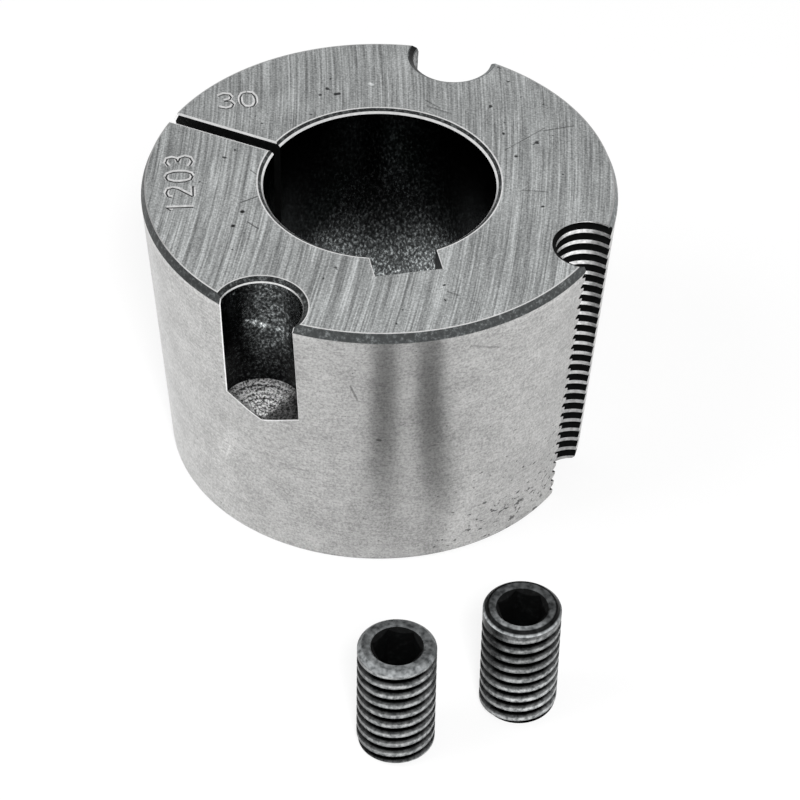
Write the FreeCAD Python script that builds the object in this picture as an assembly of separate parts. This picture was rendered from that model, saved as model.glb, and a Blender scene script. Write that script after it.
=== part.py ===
# Taper bush with the two set screws that draw it in and jack it out.
# Millimetres. The bore runs along Z, the small end stands on Z = 0 and the
# large end is up. The threaded half-hole faces +X and the slit faces -X.
# Bearings are degrees from +X, anticlockwise seen from above.

import FreeCAD, Part
import math
import os

# Bush: tapered body, bore and slit
bush_length = 38.1
large_diameter = 57.15        # at the foot of the rim chamfer
taper_angle = 8.0             # both sides together
rim_chamfer_width = 0.45      # the taper's lead-in at the large end, measured across
rim_chamfer_height = 1.1
toe_chamfer = 0.3             # small end, outer edge, 45 degrees
bore_diameter = 28.0
bore_chamfer_width = 0.65
bore_chamfer_height = 0.4
slit_width = 1.6
slit_offset = 0.5             # the saw ran off the axis, towards bearing +90

# Keyway broached in the bore
key_width = 8.0
key_depth = 3.5               # from the bore wall to the keyway floor
key_bearing = -54.0

# Half-holes down the taper, all centred on one circle
hole_circle_diameter = 54.4
thread_diameter = 9.525       # crests of a full screw thread
thread_pitch = 1.5875
thread_flank_angle = 55.0     # between the two flanks
thread_depth = 0.76           # from the crests to the tapped hole's wall
crest_flat = 1 / 6            # share of the pitch
thread_bearing = 0.0
thread_start = 0.4            # raises the whole helix by part of a pitch
plain_hole_bearing = 95.25    # each side of the threaded one
plain_hole_clearance = 0.1375 # round a full screw thread, each side
plain_hole_depth = 15.25      # full bore, to the shoulder of the drill point
drill_point_angle = 135.0
hole_chamfer_width = 0.65
hole_chamfer_height = 0.5

# Set screws, standing on their cup points beside the bush
screw_length = 15.5
screw_clearance = 0.275       # each side in the thread
screw_head_chamfer = 0.5
screw_point_chamfer = 0.85
cup_diameter = 4.8
cup_angle = 120.0
socket_width = 5.0            # across the flats
socket_depth = 6.5
socket_countersink = 6.3      # diameter at the face
socket_drill_angle = 120.0
left_screw_gap = 26.5         # from the bush's rim to the screw's axis
left_screw_bearing = -62.85
left_screw_corner = 15.5      # bearing of one corner of the socket
right_screw_gap = 22.95
right_screw_bearing = -46.6
right_screw_corner = 8.5

# How far a cutter runs past the face it opens, and a tap's ridge into its core
overrun = 1.0
ridge_root = 0.25

up = FreeCAD.Vector(0, 0, 1)


def point(x, z):
    return FreeCAD.Vector(x, 0, z)


def at_bearing(distance, bearing, z=0.0):
    angle = math.radians(bearing)
    return FreeCAD.Vector(distance * math.cos(angle), distance * math.sin(angle), z)


def drop_in(half_width, full_angle):
    """Height of a cone's tip below a rim of that half width."""
    return half_width / math.tan(math.radians(full_angle / 2))


def turned(outline):
    """Solid of revolution about Z from (radius, height) pairs."""
    corners = [point(x, z) for x, z in outline]
    face = Part.Face(Part.makePolygon(corners + corners[:1]))
    return face.revolve(FreeCAD.Vector(), up, 360)


def bar(width, reach, z_low, z_high, bearing):
    """Upright bar from the axis out to a reach along a bearing."""
    block = Part.makeBox(reach, width, z_high - z_low, FreeCAD.Vector(0, -width / 2, z_low))
    block.rotate(FreeCAD.Vector(), up, bearing)
    return block


def taper_radius(z):
    """Outside radius of the tapered side at a height."""
    slope = math.tan(math.radians(taper_angle / 2))
    return large_diameter / 2 - (bush_length - rim_chamfer_height - z) * slope


def bush_blank():
    """Tapered ring with its bore and edge chamfers."""
    bore = bore_diameter / 2
    return turned([
        (bore, bore_chamfer_height),
        (bore + bore_chamfer_width, 0),
        (taper_radius(toe_chamfer) - toe_chamfer, 0),
        (taper_radius(toe_chamfer), toe_chamfer),
        (large_diameter / 2, bush_length - rim_chamfer_height),
        (large_diameter / 2 - rim_chamfer_width, bush_length),
        (bore + bore_chamfer_width, bush_length),
        (bore, bush_length - bore_chamfer_height),
    ])


def slit():
    reach = large_diameter / 2 + overrun
    cut = bar(slit_width, reach, -overrun, bush_length + overrun, thread_bearing + 180)
    cut.translate(at_bearing(slit_offset, thread_bearing + 90))
    return cut


def keyway():
    reach = bore_diameter / 2 + key_depth
    return bar(key_width, reach, -overrun, bush_length + overrun, key_bearing)


def drilled_hole():
    """Blind hole with a drill point and a chamfered mouth, on the Z axis."""
    radius = thread_diameter / 2 + plain_hole_clearance
    shoulder = bush_length - plain_hole_depth
    mouth = radius + hole_chamfer_width
    return turned([
        (0, shoulder - drop_in(radius, drill_point_angle)),
        (radius, shoulder),
        (radius, bush_length - hole_chamfer_height),
        (mouth, bush_length),
        (mouth, bush_length + overrun),
        (0, bush_length + overrun),
    ])


def helix(radius, turns, start):
    """Helical wire of whole turns, one edge for each."""
    edges = []
    for turn in range(turns):
        one = Part.makeHelix(thread_pitch, thread_pitch, radius)
        one.translate(FreeCAD.Vector(0, 0, start + turn * thread_pitch))
        edges += one.Edges
    return Part.Wire(edges)


def thread_ridge(z_low, z_high):
    """Helical ridge of a tap: flat crest, straight flanks, foot inside the core."""
    crest = thread_diameter / 2
    foot = crest - thread_depth - ridge_root
    crest_half = crest_flat * thread_pitch / 2
    foot_half = crest_half + (crest - foot) * math.tan(math.radians(thread_flank_angle / 2))
    turns = math.ceil((z_high - z_low) / thread_pitch) + 2
    start = z_low - thread_pitch + thread_start
    profile = Part.makePolygon([
        point(foot, start - foot_half),
        point(crest, start - crest_half),
        point(crest, start + crest_half),
        point(foot, start + foot_half),
        point(foot, start - foot_half),
    ])
    sweep = Part.BRepOffsetAPI.MakePipeShell(helix(crest, turns, start))
    sweep.setFrenetMode(True)
    sweep.add(profile)
    sweep.build()
    sweep.makeSolid()
    return sweep.shape()


def bush():
    body = bush_blank()
    body = body.cut(slit())
    body = body.cut(keyway())
    for side in (-1, 1):
        hole = drilled_hole()
        hole.translate(at_bearing(hole_circle_diameter / 2, thread_bearing + side * plain_hole_bearing))
        body = body.cut(hole)
    seat = at_bearing(hole_circle_diameter / 2, thread_bearing)
    core_radius = thread_diameter / 2 - thread_depth
    core = Part.makeCylinder(core_radius, bush_length + 2 * overrun, FreeCAD.Vector(0, 0, -overrun))
    core.translate(seat)
    body = body.cut(core)
    ridge = thread_ridge(0, bush_length)
    ridge.translate(seat)
    return body.cut(ridge)


def socket():
    """Hexagon socket cutter with its drill point and countersink."""
    corner = socket_width / math.sqrt(3)
    floor = screw_length - socket_depth
    corners = [at_bearing(corner, 60 * side, floor) for side in range(6)]
    prism = Part.Face(Part.makePolygon(corners + corners[:1])).extrude(up * (socket_depth + overrun))
    radius = socket_width / 2
    drill = turned([
        (0, floor - drop_in(radius, socket_drill_angle)),
        (radius, floor),
        (radius, screw_length),
        (0, screw_length),
    ])
    mouth = socket_countersink / 2
    countersink = turned([
        (0, screw_length - mouth),
        (mouth, screw_length),
        (mouth, screw_length + overrun),
        (0, screw_length + overrun),
    ])
    return prism.fuse([drill, countersink])


def set_screw():
    """Socket set screw with a cup point, standing on Z = 0."""
    radius = thread_diameter / 2 - screw_clearance
    cup = cup_diameter / 2
    body = turned([
        (0, drop_in(cup, cup_angle)),
        (cup, 0),
        (radius - screw_point_chamfer, 0),
        (radius, screw_point_chamfer),
        (radius, screw_length - screw_head_chamfer),
        (radius - screw_head_chamfer, screw_length),
        (0, screw_length),
    ])
    return body.cut(socket())


def placed_screw(gap, bearing, corner_bearing):
    screw = set_screw()
    screw.rotate(FreeCAD.Vector(), up, corner_bearing)
    screw.translate(at_bearing(large_diameter / 2 + gap, bearing))
    return screw


os.makedirs("parts", exist_ok=True)
bush().exportStep("parts/bush.step")
left_screw = placed_screw(left_screw_gap, left_screw_bearing, left_screw_corner)
left_screw.exportStep("parts/set_screw_left.step")
right_screw = placed_screw(right_screw_gap, right_screw_bearing, right_screw_corner)
right_screw.exportStep("parts/set_screw_right.step")
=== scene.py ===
import math

import bmesh
import bpy
from mathutils import Matrix, Vector


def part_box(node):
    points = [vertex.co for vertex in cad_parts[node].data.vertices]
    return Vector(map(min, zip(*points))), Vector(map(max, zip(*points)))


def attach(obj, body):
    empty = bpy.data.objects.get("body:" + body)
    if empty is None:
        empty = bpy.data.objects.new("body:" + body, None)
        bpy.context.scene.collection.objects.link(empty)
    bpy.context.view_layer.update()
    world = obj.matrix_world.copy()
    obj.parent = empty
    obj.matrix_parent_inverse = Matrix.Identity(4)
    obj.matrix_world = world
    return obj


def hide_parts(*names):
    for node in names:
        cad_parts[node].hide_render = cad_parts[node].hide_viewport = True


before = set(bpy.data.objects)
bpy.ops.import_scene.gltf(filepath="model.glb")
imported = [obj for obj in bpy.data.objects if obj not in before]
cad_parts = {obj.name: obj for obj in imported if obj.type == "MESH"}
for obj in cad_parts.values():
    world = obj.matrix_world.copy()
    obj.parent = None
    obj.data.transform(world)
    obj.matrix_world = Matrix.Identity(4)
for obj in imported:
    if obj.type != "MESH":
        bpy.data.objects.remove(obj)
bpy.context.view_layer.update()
print("frame loaded")

mm = 0.001
up = Vector((0, 0, 1))
photoTurn = math.radians(24.5)   # the photograph's frame is the object's, turned this far about Z
fromPhoto = Matrix.Rotation(photoTurn, 4, "Z")


# Nodes

def addNode(tree, kind, feed=None, **settings):
    made = tree.nodes.new(kind)
    for name, value in settings.items():
        setattr(made, name, value)
    for key, value in (feed or {}).items():
        if isinstance(value, bpy.types.NodeSocket):
            tree.links.new(value, made.inputs[key])
        else:
            made.inputs[key].default_value = value
    return made


def maths(tree, operation, *terms, clamp=False):
    feed = dict(enumerate(terms))
    return addNode(tree, "ShaderNodeMath", feed, operation=operation, use_clamp=clamp).outputs[0]


def vectors(tree, operation, *terms):
    made = addNode(tree, "ShaderNodeVectorMath", dict(enumerate(terms)), operation=operation)
    return made.outputs["Value" if operation in ("DOT_PRODUCT", "LENGTH") else "Vector"]


def split(tree, place):
    return addNode(tree, "ShaderNodeSeparateXYZ", {0: place}).outputs


def joined(tree, x, y=0.0, z=0.0):
    return addNode(tree, "ShaderNodeCombineXYZ", {0: x, 1: y, 2: z}).outputs[0]


def smooth(tree, value, start, end, low=0.0, high=1.0):
    feed = {"Value": value, "From Min": start, "From Max": end, "To Min": low, "To Max": high}
    return addNode(tree, "ShaderNodeMapRange", feed, interpolation_type="SMOOTHSTEP").outputs[0]


def noise(tree, place, scale, detail, roughness):
    feed = {"Vector": place, "Scale": scale, "Detail": detail, "Roughness": roughness}
    return addNode(tree, "ShaderNodeTexNoise", feed).outputs[0]


def mixed(tree, parts):
    # weighted sum
    total = None
    for value, weight in parts:
        share = maths(tree, "MULTIPLY", value, weight)
        total = share if total is None else maths(tree, "ADD", total, share)
    return total


def grained(tree, places, grain):
    # weighted sum of noises; each says which place it reads, its scale, detail, roughness and weight
    return mixed(tree, [(noise(tree, places[which], scale, detail, rough), weight)
                        for which, scale, detail, rough, weight in grain])


def reachOf(tree, x, y):
    squares = [maths(tree, "MULTIPLY", value, value) for value in (x, y)]
    return maths(tree, "POWER", maths(tree, "ADD", *squares), 0.5)


def offCentre(tree, value, centre):
    return maths(tree, "ABSOLUTE", maths(tree, "SUBTRACT", value, centre))


def stretched(tree, place, scale, turn=0.0):
    feed = {"Vector": place, "Rotation": (0, 0, turn), "Scale": scale}
    return addNode(tree, "ShaderNodeMapping", feed).outputs[0]


def inPhoto(tree, place):
    return stretched(tree, place, (1, 1, 1), -photoTurn)


def darkened(tree, colour, *factors):
    for factor in factors:
        colour = vectors(tree, "MULTIPLY", colour, factor)
    return colour


markFade = (0.6, 1.4)   # where the edge of a mark starts and ends, in half widths


def marked(tree, place, marks):
    # marks in mm: start, end, half width, factor; a dent where start is end, else a scratch
    total = None
    for start, end, half, factor in marks:
        start, end = Vector(start) * mm, Vector(end) * mm
        along = end - start
        away = vectors(tree, "SUBTRACT", place, start)
        if along.length > 0:
            share = vectors(tree, "DOT_PRODUCT", away, along / along.length_squared)
            nearest = vectors(tree, "MULTIPLY", along, maths(tree, "MAXIMUM", share, 0.0, clamp=True))
            away = vectors(tree, "SUBTRACT", away, nearest)
        fade = [half * mm * share for share in markFade]
        shade = smooth(tree, vectors(tree, "LENGTH", away), *fade, factor, 1.0)
        total = shade if total is None else maths(tree, "MULTIPLY", total, shade)
    return total


def greys(tree, value, *stops):
    ramp = addNode(tree, "ShaderNodeValToRGB", {0: value})
    elements = ramp.color_ramp.elements
    while len(elements) < len(stops):
        elements.new(0.5)
    for element, (position, colour) in zip(elements, stops):
        element.position = position
        element.color = (*colour, 1) if isinstance(colour, tuple) else (colour, colour, colour, 1)
    return ramp.outputs[0]


finishes = {}


def newFinish(name, metallic, roughness, anisotropy=0.0, grain=None):
    finishes[name] = bpy.data.materials.new(name)
    finishes[name].use_nodes = True
    tree = finishes[name].node_tree
    shader = tree.nodes["Principled BSDF"]
    shader.inputs["Metallic"].default_value = metallic
    shader.inputs["Roughness"].default_value = roughness
    shader.inputs["Anisotropic"].default_value = anisotropy
    if grain:
        tree.links.new(joined(tree, *grain), shader.inputs["Tangent"])
    return tree, shader, addNode(tree, "ShaderNodeTexCoord").outputs["Object"]


def dress(tree, shader, colour, height=None, depth=0.0, strength=1.0):
    tree.links.new(colour, shader.inputs["Base Color"])
    if height is not None:
        bump = addNode(tree, "ShaderNodeBump", {"Height": height, "Distance": depth, "Strength": strength})
        tree.links.new(bump.outputs[0], shader.inputs["Normal"])


# Finishes of the bush. Tones by place are (start, end, low, high) of a smooth step, in metres.

bushSizes = dict(
    length=38.1, largeRadius=28.575, halfTaper=math.radians(4), toe=0.3, segments=360,
    rimWidth=0.45, rimHeight=1.1,
    boreRadius=14.0, boreChamferWidth=0.65, boreChamferHeight=0.4,
    slitWidth=1.6, slitOffset=0.5, keyWidth=8.0, keyReach=17.5, keyBearing=math.radians(-54),
    holeCircle=27.2, holeRadius=4.9, holeDepth=15.25, holeBearing=math.radians(95.25),
    holeChamferWidth=0.65, holeChamferHeight=0.5, drillPoint=math.radians(135), holeSegments=120,
    tapRadius=4.7625, tapDepth=0.76, tapStart=0.4, pitch=1.5875, flank=math.radians(55),
    crest=0.2646, rounding=0.05, turns=26.0, steps=64, ridgeFoot=0.25,
    # where the slit's cutter and the ones for long edges start and end, from the axis
    slitBar=(10, 31), slitEdges=(13, 29.5), keywayEdges=(12, 17.6),
    sharp=30,   # in degrees, from where on an edge looks sharp
)


def polar(distance, bearing, z=0.0):
    return Vector((distance * math.cos(bearing), distance * math.sin(bearing), z))


groundFaceLook = dict(
    dark=0.19, middle=0.405, light=0.79, red=0.97, stops=(0.41, 0.495, 0.60),
    wheel=(-0.200, 0.014),   # middle of the grinding marks in metres, in the photograph's frame
    along={"lines": 0.012, "short": 0.07},   # how much of the way along a mark its grain counts
    grain=[
        ("lines", 4400, 3, 0.6, 0.32), ("lines", 1400, 2, 0.5, 0.16), ("short", 2600, 2, 0.6, 0.14),
        ("place", 3600, 3, 0.8, 0.32), ("place", 140, 2, 0.5, 0.06),
    ],
    pits=(900, 1, 0.4), pitEdge=(0.755, 0.80, 1.0, 0.12),
    rough=0.46, smooth=0.32, polish=(0.42, 0.58), anisotropy=0.5, bump=(0.00003, 0.6),
    # painted light: the face is lighter towards the front and darker towards the back
    paintedLightMiddle=1.03, paintedFrontLight=4.2,
    # dents and scratches in mm, in the photograph's frame
    marks=[
        ((-16.2, -6.3), (-16.2, -6.3), 0.30, 0.04), ((-17.2, -9.0), (-17.2, -9.0), 0.26, 0.04),
        ((-7.5, 17.1), (-7.5, 17.1), 0.22, 0.15), ((-5.6, 17.3), (-5.2, 17.4), 0.26, 0.10),
        ((-15.6, 1.8), (-14.1, 0.2), 0.09, 0.45), ((-16.4, -4.5), (-14.3, -3.2), 0.10, 0.35),
        ((-15.5, -8.2), (-14.2, -9.5), 0.10, 0.35), ((15.1, 6.3), (20.1, 10.9), 0.08, 0.55),
        ((19.9, 10.3), (23.6, 11.4), 0.10, 0.45), ((17.0, -1.5), (20.1, -1.8), 0.10, 0.55),
        ((5.5, 16.3), (7.3, 14.7), 0.10, 0.55), ((5.8, 15.0), (8.6, 13.6), 0.14, 0.60),
        ((8.0, -20.6), (9.2, -21.2), 0.14, 0.55), ((-1.4, 19.6), (-1.0, 19.4), 0.22, 1.9),
    ],
)


def groundFaceFinish():
    look = groundFaceLook
    grindingWay = fromPhoto @ Vector((1, 0, 0))
    tree, shader, place = newFinish("groundFace", 1.0, look["rough"], look["anisotropy"], grindingWay)
    seen = inPhoto(tree, place)
    fromWheel = split(tree, vectors(tree, "SUBTRACT", seen, (*look["wheel"], 0)))
    reach = reachOf(tree, fromWheel[0], fromWheel[1])
    places = {"place": place}
    for key, share in look["along"].items():
        places[key] = joined(tree, reach, maths(tree, "MULTIPLY", fromWheel[1], share))
    grain = grained(tree, places, look["grain"])
    shades = [(look[key] * look["red"], look[key], look[key]) for key in ("dark", "middle", "light")]
    ground = greys(tree, grain, *zip(look["stops"], shades))
    pits = smooth(tree, noise(tree, place, *look["pits"]), *look["pitEdge"])
    top = bushSizes["length"]
    marks = [((*start, top), (*end, top), half, factor) for start, end, half, factor in look["marks"]]
    # painted light, falling from the front of the face to its back
    farther = maths(tree, "MULTIPLY", split(tree, seen)[1], look["paintedFrontLight"])
    paintedLightByDepth = maths(tree, "SUBTRACT", look["paintedLightMiddle"], farther)
    colour = darkened(tree, ground, pits, marked(tree, seen, marks), paintedLightByDepth)
    roughness = smooth(tree, grain, *look["polish"], look["rough"], look["smooth"])
    tree.links.new(roughness, shader.inputs["Roughness"])
    dress(tree, shader, colour, grain, *look["bump"])


groundTaperLook = dict(
    shade=(0.284, 0.283, 0.280), light=(0.526, 0.524, 0.518), stops=(0.40, 0.60),
    roughness=0.305, anisotropy=0.80, bump=(0.00002, 0.5),
    drawn=(0.15, 0.15, 1),   # grain drawn out round the bush
    grain=[("place", 3400, 3, 0.7, 0.60), ("drawn", 4600, 2, 0.5, 0.20), ("place", 260, 3, 0.6, 0.20)],
    # small pits, more of them low on the right and at the front
    pits=(1150, 2, 0.6), pitStretch=(1, 1, 1.6), pitEdge=(0.70, 0.78, 1.0, 0.22),
    pitsLowRight=(-0.010, 0.022, 0.0, 0.13), pitsInFront=(0.004, -0.014, 0.45, 1.0),
    # painted shade close under the rim and a painted highlight there to both sides; painted light on the
    # sides and painted shade in the middle
    paintedShadeUnderRim=(0.03680, 0.03700, 1.0, 0.72),
    edgeHeight=(0.0360, 0.0366), edgeAside=(0.005, 0.010), paintedRimShine=0.14,
    sides=(0.010, 0.022, 1.0, 1.14), middle=0.001, paintedMiddleShade=(0.003, 0.009, 0.92, 1.0),
    # low end of the dark bands, a painted reflection of the set screws: middle and half width across the
    # photograph in mm, how dark
    bandEnds=[(2.0, 1.6, 0.05), (6.9, 1.5, 0.10), (10.2, 1.7, -0.12)],
    bandFade=(0.3, 1.5), bandHeight=(0.011, 0.020, 1.0, 0.0),
    # scratches, dents and a polished smear in mm, in the photograph's frame
    marks=[
        ((10.7, -26.3, 34.9), (13.9, -24.7, 33.3), 0.16, 0.72),
        ((-3.1, -27.9, 29.9), (-2.3, -27.8, 27.7), 0.13, 0.55),
        ((0.1, -27.5, 21.2), (0.4, -27.5, 21.1), 0.20, 0.45),
        ((16.6, -20.2, 1.8), (16.8, -20.0, 1.8), 0.28, 0.30),
        ((13.0, -23.0, 7.0), (13.2, -22.9, 7.0), 0.20, 0.35),
        ((-19.2, -18.3, 8.5), (-17.0, -21.2, 16.6), 0.9, 1.10),
        ((-18.6, -19.4, 9.5), (-17.6, -20.4, 13.5), 0.16, 1.22),
    ],
)


def groundTaperFinish():
    look = groundTaperLook
    tree, shader, place = newFinish("groundTaper", 1.0, look["roughness"], look["anisotropy"], up)
    grain = grained(tree, {"place": place, "drawn": stretched(tree, place, look["drawn"])}, look["grain"])
    ground = greys(tree, grain, *zip(look["stops"], (look["shade"], look["light"])))
    seen = inPhoto(tree, place)
    across, depth, height = split(tree, seen)
    often = smooth(tree, maths(tree, "SUBTRACT", across, height), *look["pitsLowRight"])
    often = maths(tree, "MULTIPLY", often, smooth(tree, depth, *look["pitsInFront"]))
    spots = noise(tree, stretched(tree, place, look["pitStretch"]), *look["pits"])
    pits = smooth(tree, maths(tree, "ADD", spots, often), *look["pitEdge"])
    aside = maths(tree, "ABSOLUTE", across)
    # painted highlight at both ends of the rim
    edge = maths(tree, "MULTIPLY", smooth(tree, height, *look["edgeHeight"]),
                 smooth(tree, aside, *look["edgeAside"]))
    edge = maths(tree, "ADD", maths(tree, "MULTIPLY", edge, look["paintedRimShine"]), 1.0)
    # painted reflection of the set screws: dark bands low down on the side
    bands = []
    for centre, half, darker in look["bandEnds"]:
        start, end = [half * mm * share for share in look["bandFade"]]
        bands.append((smooth(tree, offCentre(tree, across, centre * mm), start, end, 1.0, 0.0), darker))
    paintedScrewReflection = maths(tree, "MULTIPLY", mixed(tree, bands), smooth(tree, height, *look["bandHeight"]))
    paintedScrewReflection = maths(tree, "SUBTRACT", 1.0, paintedScrewReflection)
    # besides real pits and marks: the painted reflection bands, painted rim highlight, painted shade under
    # the rim and in the middle, painted light on the sides
    colour = darkened(
        tree, ground, pits, marked(tree, seen, look["marks"]), paintedScrewReflection, edge,
        smooth(tree, height, *look["paintedShadeUnderRim"]), smooth(tree, aside, *look["sides"]),
        smooth(tree, offCentre(tree, across, look["middle"]), *look["paintedMiddleShade"]))
    dress(tree, shader, colour, grain, *look["bump"])


darkLooks = {
    # dark, light, metallic, roughness, scale of the mottling, stretch along Z
    "turnedEdge": (0.058, 0.215, 0.8, 0.50, 1900, 1.0),
    "farEdge": (0.058, 0.215, 0.8, 0.50, 1900, 1.0),
    "boreEdge": (0.025, 0.220, 0.9, 0.45, 2200, 1.0),
    "boredWall": (0.045, 1.000, 1.0, 0.22, 3200, 0.6),
    "drilledWall": (0.012, 0.300, 1.0, 0.26, 2900, 0.9),
    "threadFlank": (0.002, 0.005, 0.0, 0.70, 2600, 1.0),
    "sawnWall": (0.002, 0.005, 0.0, 0.70, 2600, 1.0),
    "broachedWall": (0.004, 0.060, 1.0, 0.30, 2400, 0.3),
    "socketWall": (0.002, 0.006, 0.0, 0.70, 1500, 1.0),
    "threadRoot": (0.003, 0.012, 0.0, 0.60, 2000, 1.0),
}
mottlingLook = dict(
    # middle is its share of the way from dark to light; the bump's depth is divided by the scale
    middle=0.16, stops=(0.40, 0.54, 0.68), tint=(0.94, 1.0, 1.01), detail=3, fineness=0.7,
    metalSpecular=0.5, dullSpecular=0.12, bumpDepth=0.052, bumpStrength=0.6,
)
paintedWallLight = {
    # painted light and shade in the photograph's frame: the drilled hole darker deeper down, the bore
    # darker higher up with a painted reflection, the fan, light low down at its back, the far hole's edge
    # painted dark on its left and light on its right, the turned edge painted darker on the left
    "drilledWall": [("height", 0.0255, 0.0310, 0.30, 1.0)],
    "boredWall": [("height", 0.0135, 0.0250, 1.0, 0.30), ("fan", 0.0140, 0.0235, 1.10, 0.34)],
    "farEdge": [("across", 0.0080, 0.0095, 0.10, 2.4)],
    "turnedEdge": [("across", -0.022, -0.010, 0.60, 1.0)],
}
paintedFanLook = dict(centre=0.0014, narrowing=0.6)
paintedShineLook = dict(across=(0.0, 0.016, 0.0, 1.6), depth=(-0.012, -0.006))   # a painted highlight where the turned edge shines
drilledSpecks = [
    # bright specks across the wall of the front half-hole in mm, in the photograph's frame
    ((-15.5, -19.1, 32.0), (-13.2, -18.7, 31.2), 0.35, 4.4),
    ((-13.2, -18.7, 31.2), (-11.8, -19.0, 30.9), 0.30, 1.6),
    ((-11.8, -19.0, 30.7), (-10.4, -19.8, 30.9), 0.25, 2.2),
    ((-16.7, -19.9, 36.9), (-16.7, -19.9, 36.9), 0.18, 12.0),
]


def darkFinish(name):
    dark, light, metallic, roughness, scale, stretch = darkLooks[name]
    look = mottlingLook
    tree, shader, place = newFinish(name, metallic, roughness)
    mottling = noise(tree, stretched(tree, place, (1, 1, stretch)), scale, look["detail"], look["fineness"])
    middle = dark + look["middle"] * (light - dark)
    shades = [tuple(share * tint for tint in look["tint"]) for share in (dark, middle, light)]
    colour = greys(tree, mottling, *zip(look["stops"], shades))
    specular = look["metalSpecular"] if metallic else look["dullSpecular"]
    shader.inputs["Specular IOR Level"].default_value = specular
    if name in paintedWallLight:
        seen = inPhoto(tree, place)
        across, depth, height = split(tree, seen)
        axes = {"across": across, "height": height}
        if name == "boredWall":
            narrower = maths(tree, "MULTIPLY", height, paintedFanLook["narrowing"])
            axes["fan"] = maths(tree, "ADD", offCentre(tree, across, paintedFanLook["centre"]), narrower)
        # painted light and shade by place
        for axis, *tone in paintedWallLight[name]:
            colour = darkened(tree, colour, smooth(tree, axes[axis], *tone))
    # painted highlight on the turned edge at the front right
    if name == "turnedEdge":
        gain = maths(tree, "MULTIPLY", smooth(tree, across, *paintedShineLook["across"]),
                     smooth(tree, depth, *paintedShineLook["depth"]))
        colour = darkened(tree, colour, maths(tree, "ADD", gain, 1.0))
    if name == "drilledWall":
        colour = darkened(tree, colour, marked(tree, seen, drilledSpecks))
    dress(tree, shader, colour, mottling, look["bumpDepth"] / (scale * stretch), look["bumpStrength"])


drillPointLook = dict(
    metallic=0.5, roughness=0.40, bump=(0.00008, 0.9),
    grain=[("place", 3700, 3, 0.75, 0.72), ("ring", 2600, 1, 0.5, 0.28)],
    shades=((0.43, 0.03), (0.495, 0.38), (0.56, 1.0)),
    # painted shade, darker outwards from the tip
    outwards=(0.0010, 0.0052, 1.0, 0.42),
    sector=(0.30, 0.88, 0.20, 1.20),   # painted light in a sector that opens towards the back of the photograph
    leastReach=0.00001,
)


def drillPointFinish():
    # rings round the hole's axis; the two holes mirror each other in Y
    look = drillPointLook
    tree, shader, place = newFinish("drillPoint", look["metallic"], look["roughness"])
    axes = split(tree, place)
    centre = polar(bushSizes["holeCircle"] * mm, bushSizes["holeBearing"])
    x = maths(tree, "SUBTRACT", axes[0], centre.x)
    y = maths(tree, "SUBTRACT", maths(tree, "ABSOLUTE", axes[1]), centre.y)
    reach = reachOf(tree, x, y)
    grain = grained(tree, {"place": place, "ring": joined(tree, reach)}, look["grain"])
    back = fromPhoto @ Vector((0, 1, 0))
    facing = maths(tree, "DIVIDE", mixed(tree, [(x, back.x), (y, -back.y)]),
                   maths(tree, "MAXIMUM", reach, look["leastReach"]))
    # painted shade outwards from the tip and painted light in a sector
    colour = darkened(tree, greys(tree, grain, *look["shades"]), smooth(tree, reach, *look["outwards"]),
                      smooth(tree, facing, *look["sector"]))
    dress(tree, shader, colour, grain, *look["bump"])


brightLooks = {
    # dark, light, roughness; what is left of the colour under painted shade away from the front and near
    # the foot
    "brightBreak": (0.80, 1.0, 0.38, 1.0, 1.0),
    "rimBreak": (0.80, 1.0, 0.38, 0.50, 1.0),
    "threadLand": (0.55, 1.0, 0.36, 1.0, 0.52),
    "stamped": (0.70, 1.0, 0.40, 1.0, 1.0),
}
# mottled tone, and the depth and height over which the painted shade sets in
brightWearAndPaintedShade = dict(
    noise=(1800, 2, 0.6), stops=(0.30, 0.70), farther=(-0.020, -0.008), lower=(0.006, 0.030),
)


def brightFinish(name):
    dark, light, roughness, farther, lower = brightLooks[name]
    look = brightWearAndPaintedShade
    tree, shader, place = newFinish(name, 1.0, roughness)
    depth, height = split(tree, inPhoto(tree, place))[1:]
    colour = greys(tree, noise(tree, place, *look["noise"]), *zip(look["stops"], (dark, light)))
    # painted shade away from the front and near the foot
    colour = darkened(tree, colour, smooth(tree, depth, *look["farther"], 1.0, farther),
                      smooth(tree, height, *look["lower"], lower, 1.0))
    dress(tree, shader, colour)


# Finishes of the screws

screwSizes = dict(
    length=15.5, radius=4.4875, root=3.65, pitch=1.5875, flank=math.radians(55), crest=0.50,
    rounding=0.06, turns=13.0, steps=96,
    # how far the ridge goes into the core and past the crests, and where the core ends
    ridgeFoot=0.3, ridgeProud=0.1, coreEnds=(-2, 18),
    headChamfer=0.5, pointChamfer=0.85, cup=2.4, cupAngle=math.radians(120), socket=5.0,
    socketDepth=6.5, socketDrill=math.radians(120), countersink=3.15, sinkBreak=0.17,
    segments=180, toolSegments=96, drillSegments=64, sharp=25,
)
screwPlaces = {
    # bearing of a socket corner in degrees; height of the thread's start and of the plain ledge in mm;
    # radii where the painted shade ring and the painted shine on the chamfer set in; how bright these are,
    # the painted shade on the back and the painted light on the crests
    "set_screw_left": {
        "thread": "wornThreadPaintedLightLeft", "head": "wornHeadPaintedLightLeft", "corner": 15.5, "start": 0.915, "ledge": 0.25,
        "radii": (3.15, 3.40, 3.65, 3.95), "ring": 0.90, "chamfer": 2.0, "back": 1.0, "crests": (1, 1)},
    "set_screw_right": {
        "thread": "wornThreadPaintedLightRight", "head": "wornHeadPaintedLightRight", "corner": 8.5, "start": 0.247, "ledge": 0.85,
        "radii": (3.68, 3.90, 4.18, 4.40), "ring": 0.06, "chamfer": 2.8, "back": 0.55,
        "crests": (1.28, 0.72)},
}
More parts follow.
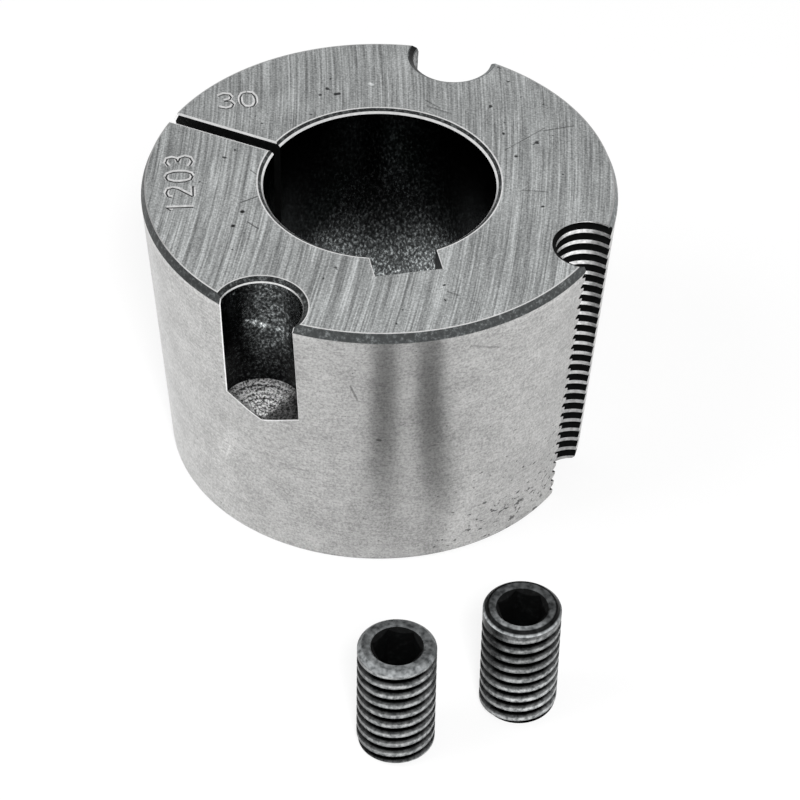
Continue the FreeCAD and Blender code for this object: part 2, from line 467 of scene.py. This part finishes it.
blackSteelLook = dict(
    dark=(0.016, 0.018, 0.019), light=(0.11, 0.118, 0.12), stops=(0.40, 0.65),
    noise=(1700, 3, 0.7), metallic=0.7, roughness=0.40, bump=(0.00003, 0.5),
)
threadLook = dict(
    dark=(0.15, 0.158, 0.16), light=(0.54, 0.552, 0.555), stops=(0.33, 0.66),
    noise=(1800, 2, 0.6), roughness=0.38,
    # bright along the middle of the crest, partly wear and partly painted highlight, painted light in
    # front, painted shade black down in the groove and grey at both sides
    offCrest=(0.03, 0.20, 1.0, 0.50), front=(0.25, -0.97, 0), facing=(0.0, 0.95, 0.24, 1.0),
    upGroove=(0.00412, 0.00447, 0.0, 1.0), beside=(0.55, 0.95, 0.012, 0.55), higher=(0.0055, 0.0110),
)
headLook = dict(
    dark=(0.070, 0.074, 0.076), light=(0.320, 0.333, 0.339), stops=(0.30, 0.70),
    noise=(1500, 2, 0.5), roughness=0.44,
    # painted light and shade: light round the socket, a painted shade ring on the face, a painted highlight
    # on the chamfer and painted light in front
    front=(-0.2, -0.98, 0), face=(0.20, 0.72), faceGain=1.75,
    chamfer=(-0.2, 0.9), chamferBack=0.7,
)


def worn(tree, place, look):
    wear = noise(tree, place, *look["noise"])
    return wear, greys(tree, wear, *zip(look["stops"], (look["dark"], look["light"])))


def blackSteelFinish():
    look = blackSteelLook
    tree, shader, place = newFinish("blackSteel", look["metallic"], look["roughness"])
    wear, colour = worn(tree, place, look)
    dress(tree, shader, colour, wear, *look["bump"])


def centreOf(node):
    low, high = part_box(node)
    return (low + high) / 2


def fromAxis(tree, place, node):
    # place from the screw's axis, the same laid flat, and how far out it is
    centre = centreOf(node)
    axes = split(tree, vectors(tree, "SUBTRACT", place, (centre.x, centre.y, 0)))
    flat = joined(tree, axes[0], axes[1])
    return axes, flat, vectors(tree, "LENGTH", flat)


def towards(tree, flat, way):
    # 1 on the screw's side that faces that way in the photograph's frame, -1 opposite
    aim = fromPhoto @ Vector(way) / (screwSizes["radius"] * mm)
    return vectors(tree, "DOT_PRODUCT", flat, aim)


def threadFinish(node):
    look, own = threadLook, screwPlaces[node]
    tree, shader, place = newFinish(own["thread"], 1.0, look["roughness"])
    axes, flat, reach = fromAxis(tree, place, node)
    turn = maths(tree, "DIVIDE", maths(tree, "ARCTAN2", axes[1], axes[0]), 2 * math.pi)
    height = maths(tree, "SUBTRACT", axes[2], own["start"] * mm)
    pitches = maths(tree, "SUBTRACT", maths(tree, "DIVIDE", height, screwSizes["pitch"] * mm), turn)
    offCrest = offCentre(tree, maths(tree, "FRACT", maths(tree, "ADD", pitches, 0.5)), 0.5)
    aside = maths(tree, "ABSOLUTE", towards(tree, flat, (1, 0, 0)))
    # painted shade down in the groove and at both sides
    groove = maths(tree, "MAXIMUM", smooth(tree, aside, *look["beside"]),
                   smooth(tree, reach, *look["upGroove"]))
    colour = worn(tree, place, look)[1]
    # painted light and shade: in front, along the crest and by height
    colour = darkened(
        tree, colour, groove, smooth(tree, offCrest, *look["offCrest"]),
        smooth(tree, towards(tree, flat, look["front"]), *look["facing"]),
        smooth(tree, axes[2], *look["higher"], *own["crests"]))
    dress(tree, shader, colour)


def headFinish(node):
    look, own = headLook, screwPlaces[node]
    tree, shader, place = newFinish(own["head"], 1.0, look["roughness"])
    flat, reach = fromAxis(tree, place, node)[1:]
    facing = towards(tree, flat, look["front"])
    colour = worn(tree, place, look)[1]
    radii = [radius * mm for radius in own["radii"]]
    # painted shade ring on the face, painted highlight on the chamfer, lighter in front and darker at the
    # back
    face = maths(tree, "MULTIPLY", smooth(tree, reach, *radii[:2], 1.0, own["ring"]),
                 smooth(tree, facing, *look["face"], own["back"], look["faceGain"]))
    chamfer = maths(tree, "MULTIPLY", smooth(tree, reach, *radii[2:]),
                    smooth(tree, facing, *look["chamfer"], look["chamferBack"], own["chamfer"]))
    colour = darkened(tree, colour, maths(tree, "MAXIMUM", face, chamfer))
    dress(tree, shader, colour)


groundFaceFinish()
groundTaperFinish()
drillPointFinish()
for name in brightLooks:
    brightFinish(name)
blackSteelFinish()
for node in screwPlaces:
    threadFinish(node)
for node in screwPlaces:
    headFinish(node)
for name in darkLooks:
    darkFinish(name)
finishOrder = list(finishes)
print("finishes made")


# Shapes. Every solid carries all finishes in one order, so that a cut keeps the cutter's own.

onAxis = 1e-6   # a smaller radius than this is a point on the axis


def coat(mesh):
    for each in finishOrder:
        mesh.materials.append(finishes[each])


def newObject(name, data):
    made = bpy.data.objects.new(name, data)
    bpy.context.scene.collection.objects.link(made)
    return made


def newSolid(name, points, faces):
    mesh = bpy.data.meshes.new(name)
    mesh.from_pydata([Vector(p) * mm for p in points], [], [corners for corners, finish in faces])
    coat(mesh)
    for polygon, (corners, finish) in zip(mesh.polygons, faces):
        polygon.material_index = finishOrder.index(finish)
    return newObject(name, mesh)


def softened(profile, legs):
    # each corner of a closed (radius, height, finish) outline gives way to a flat (leg, leg, finish)
    made = []
    for index, (radius, height, after) in enumerate(profile):
        here = Vector((radius, height))
        before = Vector(profile[index - 1][:2])
        following = Vector(profile[(index + 1) % len(profile)][:2])
        firstLeg, secondLeg, finish = legs[index]
        first = here + (before - here).normalized() * firstLeg
        second = here + (following - here).normalized() * secondLeg
        made.append((first.x, first.y, finish))
        made.append((second.x, second.y, after))
    return made


def turned(name, profile, segments, centre=(0, 0)):
    # profile goes round the section with the solid on its left; a corner on the axis is one point
    points, rows, faces = [], [], []
    for radius, height, finish in profile:
        if radius < onAxis:
            rows.append([len(points)] * segments)
            points.append((centre[0], centre[1], height))
        else:
            rows.append(range(len(points), len(points) + segments))
            for step in range(segments):
                angle = 2 * math.pi * step / segments
                across, depth = radius * math.cos(angle), radius * math.sin(angle)
                points.append((centre[0] + across, centre[1] + depth, height))
    for index, (radius, height, finish) in enumerate(profile):
        following = (index + 1) % len(profile)
        if radius < onAxis and profile[following][0] < onAxis:
            continue
        low, high = rows[index], rows[following]
        for step in range(segments):
            after = (step + 1) % segments
            corners = [low[step], low[after], high[after], high[step]]
            faces.append((list(dict.fromkeys(corners)), finish))
    return newSolid(name, points, faces)


def turnedTool(name, outline, finish, segments, centre):
    # a cutter of one finish
    return turned(name, [(radius, height, finish) for radius, height in outline], segments, centre)


def loft(name, sections, finish):
    # a closed bar through rings of points; one finish, or one for each side
    count = len(sections[0])
    sides = [finish] * count if isinstance(finish, str) else finish
    points = [point for section in sections for point in section]
    faces = []
    for level in range(len(sections) - 1):
        base = level * count
        for index in range(count):
            after = (index + 1) % count
            corners = [base + index, base + after, base + count + after, base + count + index]
            faces.append((corners, sides[index]))
    faces.append((list(range(count))[::-1], sides[0]))
    faces.append((list(range(len(points) - count, len(points))), sides[0]))
    made = newSolid(name, points, faces)
    outwards(made)
    return made


def outwards(piece):
    work = bmesh.new()
    work.from_mesh(piece.data)
    bmesh.ops.recalc_face_normals(work, faces=work.faces)
    work.to_mesh(piece.data)
    work.free()


def applied(piece):
    # the modifiers' result takes the place of the mesh
    seen = piece.evaluated_get(bpy.context.evaluated_depsgraph_get())
    mesh = bpy.data.meshes.new_from_object(seen)
    piece.modifiers.clear()
    piece.data = mesh
    return mesh


def carved(piece, steps):
    for operation, tool in steps:
        step = piece.modifiers.new("carve", "BOOLEAN")
        step.operation = operation
        step.solver = "MANIFOLD"
        step.material_mode = "INDEX"
        step.object = tool
    mesh = applied(piece)
    for operation, tool in steps:
        bpy.data.objects.remove(tool)
    print(piece.name, len(mesh.polygons), "faces")


def finished(piece, name, node, sharp):
    # edges are sharp wherever two finishes meet, too
    piece.name = name
    piece.data.name = name
    piece.data.shade_smooth()
    piece.data.set_sharp_from_angle(angle=math.radians(sharp))
    work = bmesh.new()
    work.from_mesh(piece.data)
    for edge in work.edges:
        if len({face.material_index for face in edge.link_faces}) > 1:
            edge.smooth = False
    work.to_mesh(piece.data)
    work.free()
    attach(piece, "root")
    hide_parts(node)


# Thread: a ridge that climbs round an axis

def ridgeTree():
    tree = bpy.data.node_groups.new("helicalRidge", "GeometryNodeTree")
    kinds = {"Steps": "NodeSocketInt", "Finish": "NodeSocketMaterial"}
    for name in ("Turns", "Steps", "Pitch", "Middle Radius", "Foot Width", "Crest Width", "Height",
                 "Rounding", "Finish"):
        tree.interface.new_socket(name, in_out="INPUT", socket_type=kinds.get(name, "NodeSocketFloat"))
    tree.interface.new_socket("Thread", in_out="OUTPUT", socket_type="NodeSocketGeometry")
    given = tree.nodes.new("NodeGroupInput").outputs
    rise = maths(tree, "MULTIPLY", given["Turns"], given["Pitch"])
    path = addNode(tree, "GeometryNodeCurveSpiral", {
        "Resolution": given["Steps"], "Rotations": given["Turns"], "Start Radius": given["Middle Radius"],
        "End Radius": given["Middle Radius"], "Height": rise, "Reverse": True})
    standing = addNode(tree, "GeometryNodeSetCurveNormal", {"Curve": path.outputs[0]}, mode="Z_UP")
    section = addNode(tree, "GeometryNodeCurvePrimitiveQuadrilateral", {
        "Height": given["Height"], "Bottom Width": given["Foot Width"],
        "Top Width": given["Crest Width"], "Offset": 0.0}, mode="TRAPEZOID")
    facing = addNode(tree, "GeometryNodeTransform", {
        "Geometry": section.outputs[0], "Rotation": (0, 0, math.radians(-90))})
    rounded = addNode(tree, "GeometryNodeFilletCurve", {
        "Curve": facing.outputs[0], "Count": 2, "Radius": given["Rounding"]}, mode="POLY")
    swept = addNode(tree, "GeometryNodeCurveToMesh", {
        "Curve": standing.outputs[0], "Profile Curve": rounded.outputs[0], "Fill Caps": True})
    whole = addNode(tree, "GeometryNodeRealizeInstances", {0: swept.outputs[0]})
    coated = addNode(tree, "GeometryNodeSetMaterial", {0: whole.outputs[0], "Material": given["Finish"]})
    addNode(tree, "NodeGroupOutput", {0: coated.outputs[0]})
    return tree


helicalRidge = ridgeTree()


def threadRidge(name, finish, sizes, crestRadius, height, start, centre):
    # height is the ridge's own, from foot to crest; start is how high its first section stands
    footWidth = sizes["crest"] + 2 * height * math.tan(sizes["flank"] / 2)
    values = {
        "Turns": sizes["turns"], "Steps": sizes["steps"], "Pitch": sizes["pitch"] * mm,
        "Middle Radius": (crestRadius - height / 2) * mm, "Foot Width": footWidth * mm,
        "Crest Width": sizes["crest"] * mm, "Height": height * mm, "Rounding": sizes["rounding"] * mm,
        "Finish": finishes[finish],
    }
    piece = newSolid(name, [(0, 0, 0)], [])
    grow = piece.modifiers.new("grow", "NODES")
    grow.node_group = helicalRidge
    for socket in helicalRidge.interface.items_tree:
        if socket.in_out == "INPUT":
            grow[socket.identifier] = values[socket.name]
    piece.update_tag()
    mesh = applied(piece)
    mesh.transform(Matrix.Translation((centre[0] * mm, centre[1] * mm, start * mm)))
    mesh.materials.clear()
    coat(mesh)
    for polygon in mesh.polygons:
        polygon.material_index = finishOrder.index(finish)
    outwards(piece)
    return piece


# The bush

overrun = 1.0   # how far a cutter runs past the face it opens
bushBreaks = dict(
    # legs in mm on the two faces of an edge; the section's go round from the bore's foot and name a finish
    section=[
        (0.06, 0.06, "brightBreak"), (0.06, 0.06, "brightBreak"), (0.05, 0.05, "turnedEdge"),
        (0.05, 0.05, "turnedEdge"), (0.06, 0.06, "turnedEdge"), (0.03, 0.15, "rimBreak"),
        (0.14, 0.05, "brightBreak"), (0.28, 0.08, "brightBreak"),
    ],
    slit=(0.30, 0.12), slitMouth=(0.12, 0.30), keyway=(0.10, 0.05), keywayFloor=(0.1, 0.06),
    hole=(0.13, 0.10),
    # a drilled hole's: wall, its chamfer's foot, its chamfer's head, top face
    wall=0.10, chamfer=0.08, mouth=0.03, top=0.11,
)


def taperRadius(z):
    b = bushSizes
    below = b["length"] - b["rimHeight"] - z
    if below < 0:
        return b["largeRadius"] + b["rimWidth"] * below / b["rimHeight"]
    return b["largeRadius"] - below * math.tan(b["halfTaper"])


def taperNormal(point):
    b = bushSizes
    onRim = point.z > b["length"] - b["rimHeight"]
    slope = -b["rimWidth"] / b["rimHeight"] if onRim else math.tan(b["halfTaper"])
    flat = Vector((point.x, point.y, 0)).normalized()
    return (flat - up * slope).normalized()


def bushBlank():
    b = bushSizes
    bore, top = b["boreRadius"], b["length"]
    mouth = bore + b["boreChamferWidth"]
    profile = [
        (bore, b["boreChamferHeight"], "boreEdge"),
        (mouth, 0, "groundFace"),
        (taperRadius(b["toe"]) - b["toe"], 0, "turnedEdge"),
        (taperRadius(b["toe"]), b["toe"], "groundTaper"),
        (b["largeRadius"], top - b["rimHeight"], "turnedEdge"),
        (b["largeRadius"] - b["rimWidth"], top, "groundFace"),
        (mouth, top, "boreEdge"),
        (bore, top - b["boreChamferHeight"], "boredWall"),
    ]
    return turned("bushBlank", softened(profile, bushBreaks["section"]), b["segments"])


def throughBar(name, width, start, reach, bearing, finish, shift):
    # bar that stands through the bush along a bearing
    side = polar(width / 2, bearing + math.pi / 2)
    sections = []
    for z in (-overrun, bushSizes["length"] + overrun):
        near, far = polar(start, bearing, z) + shift, polar(reach, bearing, z) + shift
        sections.append([near - side, far - side, far + side, near + side])
    return loft(name, sections, finish)


def edgeStrip(edge, firstLeg, secondLeg):
    # cuts the corner off along an edge of (point, outward normals of both faces)
    sections = []
    for index, (point, first, second) in enumerate(edge):
        along = edge[min(index + 1, len(edge) - 1)][0] - edge[max(index - 1, 0)][0]
        onFirst, onSecond = along.cross(first).normalized(), along.cross(second).normalized()
        if onFirst.dot(second) > 0:
            onFirst.negate()
        if onSecond.dot(first) > 0:
            onSecond.negate()
        onFirst *= firstLeg
        onSecond *= secondLeg
        sections.append([point + onFirst, point + onSecond, point - onFirst, point - onSecond])
    return loft("edge", sections, "brightBreak")


def slotEdges(bearing, halfWidth, shift, ends, legs):
    # the long edges of a slot through the bush, at both of its ends
    along, across = polar(1, bearing), polar(1, bearing + math.pi / 2)
    made = []
    for side in (-1, 1):
        wall = shift + across * halfWidth * side
        for z, outward in ((bushSizes["length"], up), (0.0, -up)):
            edge = [(along * x + wall + up * z, outward, across * -side) for x in ends]
            made.append(edgeStrip(edge, *legs))
    return made


def slitMouth(shift):
    # where the slit comes out through the taper
    b = bushSizes
    made = []
    for side in (-1, 1):
        wall = shift.y + side * b["slitWidth"] / 2
        edge = []
        for z in (-overrun / 2, b["length"] - b["rimHeight"], b["length"] + overrun / 2):
            point = Vector((-math.sqrt(taperRadius(z) ** 2 - wall ** 2), wall, z))
            edge.append((point, taperNormal(point), Vector((0, -side, 0))))
        made.append(edgeStrip(edge, *bushBreaks["slitMouth"]))
    return made


def keywayFloorEdge(z, outward):
    b = bushSizes
    along, across = polar(1, b["keyBearing"]), polar(1, b["keyBearing"] + math.pi / 2)
    half = b["keyWidth"] / 2
    edge = [(along * b["keyReach"] + across * x + up * z, outward, -along) for x in (-half, half)]
    return edgeStrip(edge, *bushBreaks["keywayFloor"])


def plainHole(bearing, edge, chamfer):
    # edge and chamfer are finishes
    b, broken = bushSizes, bushBreaks
    radius, top = b["holeRadius"], b["length"]
    shoulder = top - b["holeDepth"]
    foot = top - b["holeChamferHeight"]
    mouth = radius + b["holeChamferWidth"]
    profile = [
        (0, shoulder - radius / math.tan(b["drillPoint"] / 2), "drillPoint"),
        (radius, shoulder, "drilledWall"),
        (radius, foot - broken["wall"], edge),
        (radius + broken["wall"], foot + broken["chamfer"], chamfer),
        (mouth - broken["mouth"], top - broken["mouth"], edge),
        (mouth + broken["top"], top, edge),
        (mouth + broken["top"], top + overrun, edge),
        (0, top + overrun, edge),
    ]
    return turned("drill", profile, b["holeSegments"], polar(b["holeCircle"], bearing))


holeEdgePoints = dict(
    # in mm over the top, below it and on the taper; steps round the drill point, and their search
    above=0.3, onRim=0.5, onTaper=(32.0, 27.0), coneSteps=24, farthest=8.0, halvings=40,
)


def whereOnTaper(centre, angle, tip, rise):
    # how far out from its axis, at an angle round it, a cone with that tip and rise meets the taper
    low, high = 0.0, holeEdgePoints["farthest"]
    for attempt in range(holeEdgePoints["halvings"]):
        middle = (low + high) / 2
        point = centre + polar(middle, angle, tip + middle * rise)
        if math.hypot(point.x, point.y) < taperRadius(point.z):
            low = middle
        else:
            high = middle
    return low


def holeEdge(bearing):
    # down one side of a half-hole, round its drill point and up the other side
    b, p = bushSizes, holeEdgePoints
    radius, circle, top = b["holeRadius"], b["holeCircle"], b["length"]
    centre = polar(circle, bearing)
    shoulder = top - b["holeDepth"]
    rise = 1 / math.tan(b["drillPoint"] / 2)
    tip = shoulder - radius * rise
    heights = (top + p["above"], top - p["onRim"], top - b["rimHeight"], *p["onTaper"], shoulder)
    sides, ends = [], []
    for side in (-1, 1):
        edge = []
        for z in heights:
            outer = taperRadius(z)
            along = (outer ** 2 + circle ** 2 - radius ** 2) / (2 * circle)
            across = math.sqrt(outer ** 2 - along ** 2) * side
            point = polar(along, bearing, z) + polar(across, bearing + math.pi / 2)
            inward = centre - Vector((point.x, point.y, 0))
            edge.append((point, taperNormal(point), inward.normalized()))
        sides.append(edge)
        end = edge[-1][0] - centre
        ends.append((math.atan2(end.y, end.x) - bearing + math.pi) % (2 * math.pi) - math.pi)
    cone = []
    for step in range(1, p["coneSteps"]):
        angle = bearing + ends[0] + (ends[1] - ends[0]) * step / p["coneSteps"]
        reach = whereOnTaper(centre, angle, tip, rise)
        point = centre + polar(reach, angle, tip + reach * rise)
        inward = up - polar(1, angle) * rise
        cone.append((point, taperNormal(point), inward.normalized()))
    return edgeStrip(sides[0] + cone + sides[1][::-1], *bushBreaks["hole"])


digitStrokes = {
    # strokes on a box 1 wide and 1.6 high
    "0": [[(0.5, 1.6), (0.2, 1.5), (0.03, 1.15), (0.0, 0.8), (0.03, 0.45), (0.2, 0.1), (0.5, 0.0)],
          [(0.5, 0.0), (0.8, 0.1), (0.97, 0.45), (1.0, 0.8), (0.97, 1.15), (0.8, 1.5), (0.5, 1.6)]],
    "1": [[(0.2, 1.3), (0.5, 1.6)], [(0.5, 1.6), (0.5, 0.0)]],
    "2": [[(0.0, 1.25), (0.12, 1.5), (0.45, 1.6), (0.8, 1.5), (0.92, 1.2), (0.8, 0.9), (0.0, 0.0)],
          [(0.0, 0.0), (1.0, 0.0)]],
    "3": [[(0.05, 1.4), (0.45, 1.6), (0.82, 1.5), (0.92, 1.22), (0.8, 0.96), (0.42, 0.86)],
          [(0.42, 0.86), (0.85, 0.74), (1.0, 0.44), (0.85, 0.12), (0.48, 0.0), (0.0, 0.2)]],
}
stamps = [
    # text, foot of the first digit in mm, in the photograph's frame, direction of reading, step, box width
    ("30", (-19.9, 14.0), 8.0, 2.8, 1.9),
    ("1203", (-21.95, -6.4), 94.0, 2.95, 2.0),
]
stampPunch = dict(halfWidth=0.30, proud=0.2, depth=0.13, floor=0.35)   # floor is a share of the width
stampSides = ["stamped", "stamped", "stamped", "turnedEdge", "stamped"]


def stampStroke(line):
    p = stampPunch
    sections = []
    for spot, point in enumerate(line):
        way = (line[min(spot + 1, len(line) - 1)] - line[max(spot - 1, 0)]).normalized()
        side, deep = way.cross(up) * p["halfWidth"], up * -p["depth"]
        floor = side * p["floor"]
        sections.append([point + side, point + up * p["proud"], point - side, point - floor + deep,
                         point + floor + deep])
    return loft("stamp", sections, stampSides)


def stampCutters():
    cutters = []
    for text, foot, reading, step, width in stamps:
        along = polar(1, math.radians(reading) + photoTurn)
        above = Vector((-along.y, along.x, 0))
        origin = polar(math.hypot(*foot), math.atan2(foot[1], foot[0]) + photoTurn, bushSizes["length"])
        for index, digit in enumerate(text):
            for stroke in digitStrokes[digit]:
                line = [origin + along * (index * step + x * width) + above * (y * width)
                        for x, y in stroke]
                cutters.append(stampStroke(line))
    return cutters


def buildBush():
    b, broken = bushSizes, bushBreaks
    piece = bushBlank()
    onCentre, offset = Vector((0, 0, 0)), Vector((0, b["slitOffset"], 0))
    cuts = [
        throughBar("slit", b["slitWidth"], *b["slitBar"], math.pi, "sawnWall", offset),
        throughBar("keyway", b["keyWidth"], 0, b["keyReach"], b["keyBearing"], "broachedWall", onCentre),
        plainHole(-b["holeBearing"], "brightBreak", "boreEdge"),
        plainHole(b["holeBearing"], "turnedEdge", "farEdge"),
    ]
    core = b["tapRadius"] - b["tapDepth"]
    seat = polar(b["holeCircle"], 0)
    outline = [(0, -overrun), (core, -overrun), (core, b["length"] + overrun), (0, b["length"] + overrun)]
    cuts.append(turnedTool("core", outline, "threadLand", b["holeSegments"], seat))
    cuts.append(threadRidge("tap", "threadFlank", b, b["tapRadius"], b["tapDepth"] + b["ridgeFoot"],
                            b["tapStart"] - b["pitch"], seat))
    cuts += slotEdges(math.pi, b["slitWidth"] / 2, offset, b["slitEdges"], broken["slit"])
    cuts += slitMouth(offset)
    cuts += slotEdges(b["keyBearing"], b["keyWidth"] / 2, onCentre, b["keywayEdges"], broken["keyway"])
    cuts += [keywayFloorEdge(b["length"], up), keywayFloorEdge(0.0, -up)]
    cuts += [holeEdge(-b["holeBearing"]), holeEdge(b["holeBearing"])]
    cuts += stampCutters()
    carved(piece, [("DIFFERENCE", tool) for tool in cuts])
    finished(piece, "bushBody", "bush", b["sharp"])


# The set screws

def buildScrew(node, place):
    s = screwSizes
    centre = (centreOf(node).x / mm, centreOf(node).y / mm)
    corner = math.radians(place["corner"])
    radius, length, cup = s["radius"], s["length"], s["cup"]
    head = place["head"]
    profile = [
        (0, cup / math.tan(s["cupAngle"] / 2), "blackSteel"),
        (cup, 0, "blackSteel"),
        (radius - s["pointChamfer"], 0, "blackSteel"),
        (radius, s["pointChamfer"], place["thread"]),
        (radius, length - s["headChamfer"], head),
        (radius - s["headChamfer"], length, head),
        (0, length, head),
    ]
    piece = turned(node, profile, s["segments"], centre)
    ridge = threadRidge("ridge", place["thread"], s, radius + s["ridgeProud"],
                        radius - s["root"] + s["ridgeFoot"], place["start"] - 2 * s["pitch"], centre)
    low, high = s["coreEnds"]
    outline = [(0, low), (s["root"], low), (s["root"], high), (0, high)]
    core = turnedTool("core", outline, "threadRoot", s["toolSegments"], centre)
    ledge = length - s["headChamfer"] - place["ledge"]   # the groove stops short of the head
    outline = [(0, ledge), (radius + overrun, ledge), (radius + overrun, high), (0, high)]
    collar = turnedTool("collar", outline, "threadRoot", s["toolSegments"], centre)
    carved(ridge, [("UNION", core), ("UNION", collar)])
    bore = s["socket"] / math.sqrt(3)
    floor = length - s["socketDepth"]
    sections = []
    for z in (floor, length + overrun):
        turns = [corner + math.pi / 3 * side for side in range(6)]
        sections.append([Vector((*centre, 0)) + polar(bore, turn, z) for turn in turns])
    hexagon = loft("hexagon", sections, "socketWall")
    flat = s["socket"] / 2
    tip = floor - flat / math.tan(s["socketDrill"] / 2)
    outline = [(0, tip), (flat, floor), (flat, floor + overrun), (0, floor + overrun)]
    drill = turnedTool("drill", outline, "socketWall", s["drillSegments"], centre)
    mouth, broken = s["countersink"], s["sinkBreak"]
    sink = turned("sink", [
        (0, length - mouth, "socketWall"), (mouth - broken, length - broken, head), (mouth, length, head),
        (mouth, length + overrun, head), (0, length + overrun, head),
    ], s["toolSegments"], centre)
    carved(piece, [("INTERSECT", ridge)] + [("DIFFERENCE", tool) for tool in (hexagon, drill, sink)])
    finished(piece, node + "_body", node, s["sharp"])


buildBush()
print("bush built")
for node, place in screwPlaces.items():
    buildScrew(node, place)
print("screws built")


# Studio

floorLook = dict(
    size=6.0, grey=0.93, roughness=0.9, specular=0.1,
    # distances between which the paper turns white, in metres, and how white it is nearer by
    white=(0.075, 0.20), whiteNear=0.75,
    # a painted glow on the floor in the bore, seen only in reflections, so that the bore's wall mirrors it
    # white; by distance from the axis and depth in the photograph's frame
    paintedBoreGlow=(0.0142, 0.0150, 1.0, 0.0), boreDepth=(-0.011, 0.004),
)
skyLook = dict(heights=(0.1, 0.55), overhead=0.74, ambient=0.45)
lamps = {
    # place and size in mm in the photograph's frame, power in watts; no metal mirrors them
    "frontLamp": {"place": (60, -640, 680), "size": 200, "power": 8.0},
    "sideLamp": {"place": (-560, -160, 620), "size": 420, "power": 2.3},
}
lampAim = (0, 0, 0.02)
cameraSetup = dict(
    # place in mm in the photograph's frame, turns in radians, lens and sensor in mm, clipping in metres
    place=(0.0, -298.47, 269.88), tilt=0.7297, yaw=-0.0097, roll=0.0184, lens=141.74,
    sensor=36, nearest=0.01, farthest=20,
)


def mirroredRay(tree, ray):
    return maths(tree, "MAXIMUM", ray["Is Glossy Ray"], ray["Is Transmission Ray"])


def blended(tree, output, share, first, second):
    blend = addNode(tree, "ShaderNodeMixShader", {0: share, 1: first.outputs[0], 2: second.outputs[0]})
    tree.links.new(blend.outputs[0], tree.nodes[output].inputs[0])


def buildFloor():
    look = floorLook
    half = look["size"] / 2
    corners = [(-half, -half, 0), (half, -half, 0), (half, half, 0), (-half, half, 0)]
    mesh = bpy.data.meshes.new("floor")
    mesh.from_pydata(corners, [], [(0, 1, 2, 3)])
    tree, shader, place = newFinish("paper", 0.0, look["roughness"])
    shader.inputs["Base Color"].default_value = (look["grey"], look["grey"], look["grey"], 1)
    shader.inputs["Specular IOR Level"].default_value = look["specular"]
    away = vectors(tree, "LENGTH", place)
    far = smooth(tree, away, *look["white"])
    glow = addNode(tree, "ShaderNodeEmission", {"Color": (1, 1, 1, 1), "Strength": 1.0})
    ray = addNode(tree, "ShaderNodeLightPath").outputs
    white = maths(tree, "MAXIMUM", far, look["whiteNear"])
    straight = maths(tree, "MULTIPLY", white, ray["Is Camera Ray"])
    depth = split(tree, inPhoto(tree, place))[1]
    # painted glow on the floor in the bore, for mirrored rays only
    paintedBoreGlow = maths(tree, "MULTIPLY", smooth(tree, away, *look["paintedBoreGlow"]),
                   smooth(tree, depth, *look["boreDepth"]))
    mirrored = maths(tree, "MULTIPLY", maths(tree, "MAXIMUM", far, paintedBoreGlow), mirroredRay(tree, ray))
    blended(tree, "Material Output", maths(tree, "MAXIMUM", straight, mirrored), shader, glow)
    mesh.materials.append(finishes["paper"])
    floor = newObject("floor", mesh)


def buildWorld():
    look = skyLook
    world = bpy.data.worlds.new("studio")
    bpy.context.scene.world = world
    world.use_nodes = True
    tree = world.node_tree
    direction = addNode(tree, "ShaderNodeTexCoord").outputs["Generated"]
    shade = smooth(tree, split(tree, direction)[2], *look["heights"], 1.0, look["overhead"])
    grey = addNode(tree, "ShaderNodeCombineColor", {0: shade, 1: shade, 2: shade}).outputs[0]
    white = addNode(tree, "ShaderNodeBackground", {0: grey, 1: 1.0})
    ambient = addNode(tree, "ShaderNodeBackground", {0: grey, 1: look["ambient"]})
    ray = addNode(tree, "ShaderNodeLightPath").outputs
    seen = maths(tree, "MAXIMUM", ray["Is Camera Ray"], mirroredRay(tree, ray))
    blended(tree, "World Output", seen, ambient, white)


def buildLamps():
    for name, lamp in lamps.items():
        data = bpy.data.lights.new(name, "AREA")
        data.size = lamp["size"] * mm
        data.energy = lamp["power"]
        made = newObject(name, data)
        place = fromPhoto @ (Vector(lamp["place"]) * mm)
        aim = Vector(lampAim) - place
        made.matrix_world = Matrix.Translation(place) @ aim.to_track_quat("-Z", "Y").to_matrix().to_4x4()
        made.visible_glossy = False


def buildCamera():
    c = cameraSetup
    data = bpy.data.cameras.new("camera")
    data.lens = c["lens"]
    data.sensor_width = c["sensor"]
    data.clip_start = c["nearest"]
    data.clip_end = c["farthest"]
    made = newObject("camera", data)
    turn = Matrix.Rotation(c["yaw"], 4, "Z") @ Matrix.Rotation(math.pi / 2 - c["tilt"], 4, "X")
    turn = turn @ Matrix.Rotation(c["roll"], 4, "Z")
    made.matrix_world = fromPhoto @ Matrix.Translation(Vector(c["place"]) * mm) @ turn
    bpy.context.scene.camera = made


buildFloor()
buildWorld()
buildLamps()
buildCamera()
bpy.context.scene.view_settings.view_transform = "Standard"
print("studio ready")
